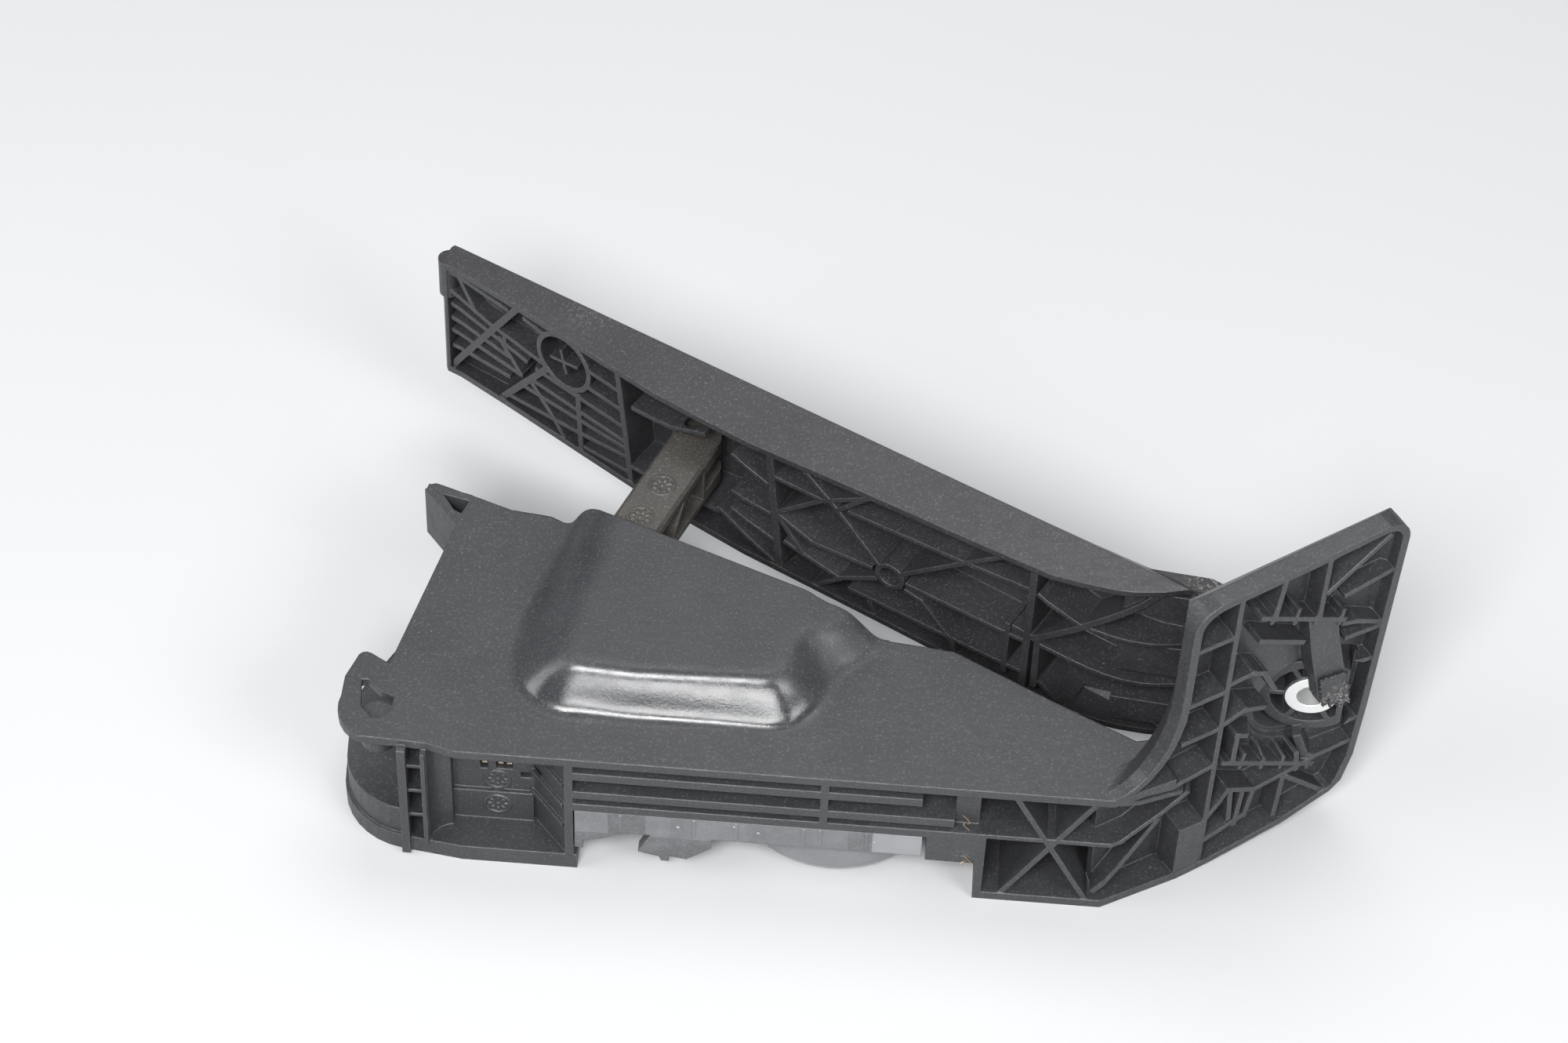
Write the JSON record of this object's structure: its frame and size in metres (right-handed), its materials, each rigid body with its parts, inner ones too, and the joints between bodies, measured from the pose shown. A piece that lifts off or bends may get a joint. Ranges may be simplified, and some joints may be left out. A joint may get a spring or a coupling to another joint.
{
  "type": "accelerator pedal",
  "caption": "Floor-hinged accelerator pedal with a ribbed tread, a link rod into a flat housing with a spring-loaded lever and angle sensor, and a ribbed heel plate with a metal bush.",
  "frame": {"origin": "axis of the metal bush in the heel plate, in the face of its ringed boss", "axes": "+X along the base from the hooked end to the heel plate, +Y from the car's floor towards the pedal, along the bush's axis, +Z across the module, up as it lies on its side on a table"},
  "size_m": [0.2955, 0.1758, 0.1248],
  "materials": {
    "frame_plastic": "black glass-filled nylon with a fine moulded grain, slightly glossy on the slopes",
    "pedal_plastic": "black glass-filled nylon, worn pale along part of the tread's edge",
    "rod_plastic": "dark brownish black moulded plastic",
    "lever_plastic": "dark grey glass-filled plastic",
    "sensor_plastic": "dark grey moulded plastic with smooth shiny tiles",
    "cover_plastic": "pale grey half-clear plastic",
    "bush_metal": "bright plated metal",
    "steel": "ground steel",
    "spring_steel": "oiled spring wire",
    "bronze": "sintered bronze",
    "friction": "brown friction material",
    "rubber": "black rubber",
    "board": "green circuit board",
    "chip": "black moulded package",
    "magnet": "plated magnet",
    "contact": "tinned brass"
  },
  "bodies": {
    "base": {"base_frame": "frame_plastic", "heel_bush": "bush_metal", "hinge_pin": "steel", "shaft_bush_upper": "bronze", "shaft_bush_lower": "bronze", "return_spring_outer": "spring_steel", "return_spring_inner": "spring_steel", "friction_ring": "friction", "idle_stop_pad": "rubber", "full_stop_pad": "rubber", "sensor_housing": "sensor_plastic", "sensor_cover": "cover_plastic", "sensor_board": "board", "sensor_chip": "chip", "sensor_seal": "rubber", "sensor_screws": "steel", "connector_block": "frame_plastic", "terminal_pins": "contact"},
    "pedal": {"pedal": "pedal_plastic"},
    "lever": {"drive_lever": "lever_plastic", "pivot_shaft": "steel", "magnet_carrier": "lever_plastic", "magnet": "magnet", "link_pin_lower": "steel", "link_pin_clip": "spring_steel"},
    "rod": {"link_rod": "rod_plastic", "link_pin_upper": "steel"}
  },
  "joints": [
    {"name": "pedal_hinge", "type": "hinge", "parent": "base", "child": "pedal", "pos_m": [-0.0299, 0.013, -0.0041], "axis": [0, 0, 1], "range_deg": [0, 11], "stiffness_Nm_per_rad": 6, "springref_deg": -17.19},
    {"name": "lever_pivot", "type": "hinge", "parent": "base", "child": "lever", "pos_m": [-0.1329, 0, -0.0041], "axis": [0, 0, 1], "range_deg": [0, 24.8]},
    {"name": "rod_pivot", "type": "hinge", "parent": "lever", "child": "rod", "pos_m": [-0.203, 0.026, -0.0041], "axis": [0, 0, 1], "range_deg": [-19.9, 0]}
  ],
  "couplings": [
    {"joint": "lever_pivot", "follows": "pedal_hinge", "ratio": 2.25},
    {"joint": "rod_pivot", "follows": "pedal_hinge", "ratio": -1.8}
  ]
}
